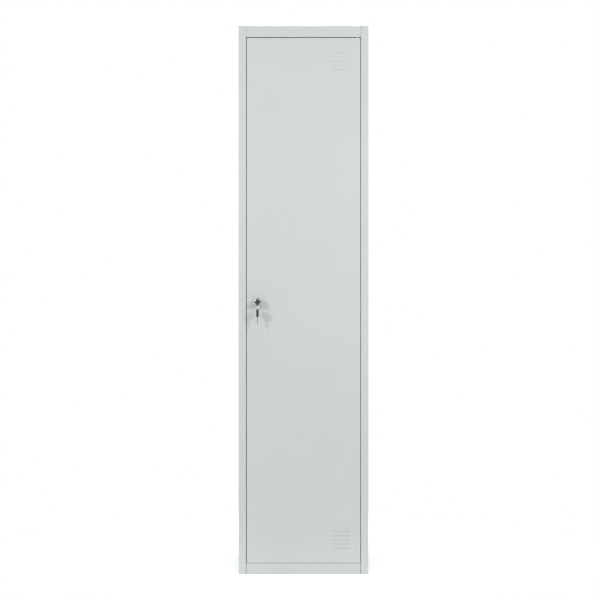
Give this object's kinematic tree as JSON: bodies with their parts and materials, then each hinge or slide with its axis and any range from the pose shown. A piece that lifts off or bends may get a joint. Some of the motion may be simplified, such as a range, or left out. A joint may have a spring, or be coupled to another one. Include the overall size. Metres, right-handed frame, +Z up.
{
  "type": "side locker",
  "caption": "Tall narrow sheet-steel locker with an inset hinged door, pressed louvres, a cam lock with its keys, shelves and a hanging rod.",
  "frame": {"origin": "on the floor, in the middle of the cabinet's footprint", "axes": "+Z up, +X to the right of someone facing the door, the door faces -Y"},
  "size_m": [0.45, 0.5409, 1.9],
  "materials": {
    "powder_coated_steel": "light grey powder coat, satin, fine texture",
    "zinc_plated_steel": "bright zinc plate",
    "chrome_plate": "polished chrome plate",
    "bright_key_steel": "nickel-plated, milled",
    "white_nylon": "natural white nylon",
    "black_plastic": "black moulded plastic",
    "black_rubber": "matt black rubber"
  },
  "bodies": {
    "cabinet": {"side_panel_left": "powder_coated_steel", "side_panel_right": "powder_coated_steel", "back_panel": "powder_coated_steel", "back_rivets": "zinc_plated_steel", "top_panel": "powder_coated_steel", "bottom_panel": "powder_coated_steel", "track_front_left": "powder_coated_steel", "track_rear_left": "powder_coated_steel", "track_front_right": "powder_coated_steel", "track_rear_right": "powder_coated_steel", "hat_shelf": "powder_coated_steel", "lower_shelf": "powder_coated_steel", "hat_shelf_clips": "zinc_plated_steel", "lower_shelf_clips": "zinc_plated_steel", "rod_bracket_left": "zinc_plated_steel", "rod_bracket_right": "zinc_plated_steel", "rod_rivets": "zinc_plated_steel", "hanging_rod": "chrome_plate", "rod_end_plugs": "black_plastic", "hinge_plate_top": "powder_coated_steel", "hinge_plate_bottom": "powder_coated_steel", "pivot_pin_top": "zinc_plated_steel", "pivot_pin_bottom": "zinc_plated_steel", "door_buffers": "black_rubber"},
    "door": {"door_skin": "powder_coated_steel", "door_stiffener": "powder_coated_steel", "door_hinge_plate_top": "powder_coated_steel", "door_hinge_plate_bottom": "powder_coated_steel", "bush_top": "white_nylon", "bush_bottom": "white_nylon", "lock_backing_plate": "powder_coated_steel", "lock_barrel": "chrome_plate", "lock_washer": "zinc_plated_steel", "lock_nut": "zinc_plated_steel"},
    "lock_cylinder": {"lock_plug": "chrome_plate", "lock_cam": "zinc_plated_steel", "cam_screw": "zinc_plated_steel"},
    "key": {"key_blade": "bright_key_steel", "key_head": "black_plastic"},
    "split_ring": {"key_ring": "chrome_plate"},
    "spare_key": {"spare_key_blade": "bright_key_steel", "spare_key_head": "black_plastic"}
  },
  "joints": [
    {"name": "door_swing", "type": "hinge", "parent": "cabinet", "child": "door", "pos_m": [0.1861, -0.244, 0.95], "axis": [0, 0, 1], "range_deg": [0, 110]},
    {"name": "lock_turn", "type": "hinge", "parent": "door", "child": "lock_cylinder", "pos_m": [-0.159, -0.25, 0.943], "axis": [0, 1, 0], "range_deg": [0, 90]},
    {"name": "key_pull", "type": "slide", "parent": "lock_cylinder", "child": "key", "axis": [0, -1, 0], "range_m": [0, 0.024]},
    {"name": "ring_swing", "type": "hinge", "parent": "key", "child": "split_ring", "pos_m": [-0.159, -0.2779, 0.9385], "axis": [1, 0, 0], "range_deg": [-45, 12]},
    {"name": "spare_key_swing", "type": "hinge", "parent": "split_ring", "child": "spare_key", "pos_m": [-0.159, -0.2779, 0.9137], "axis": [1, 0, 0], "range_deg": [-45, 12]}
  ]
}
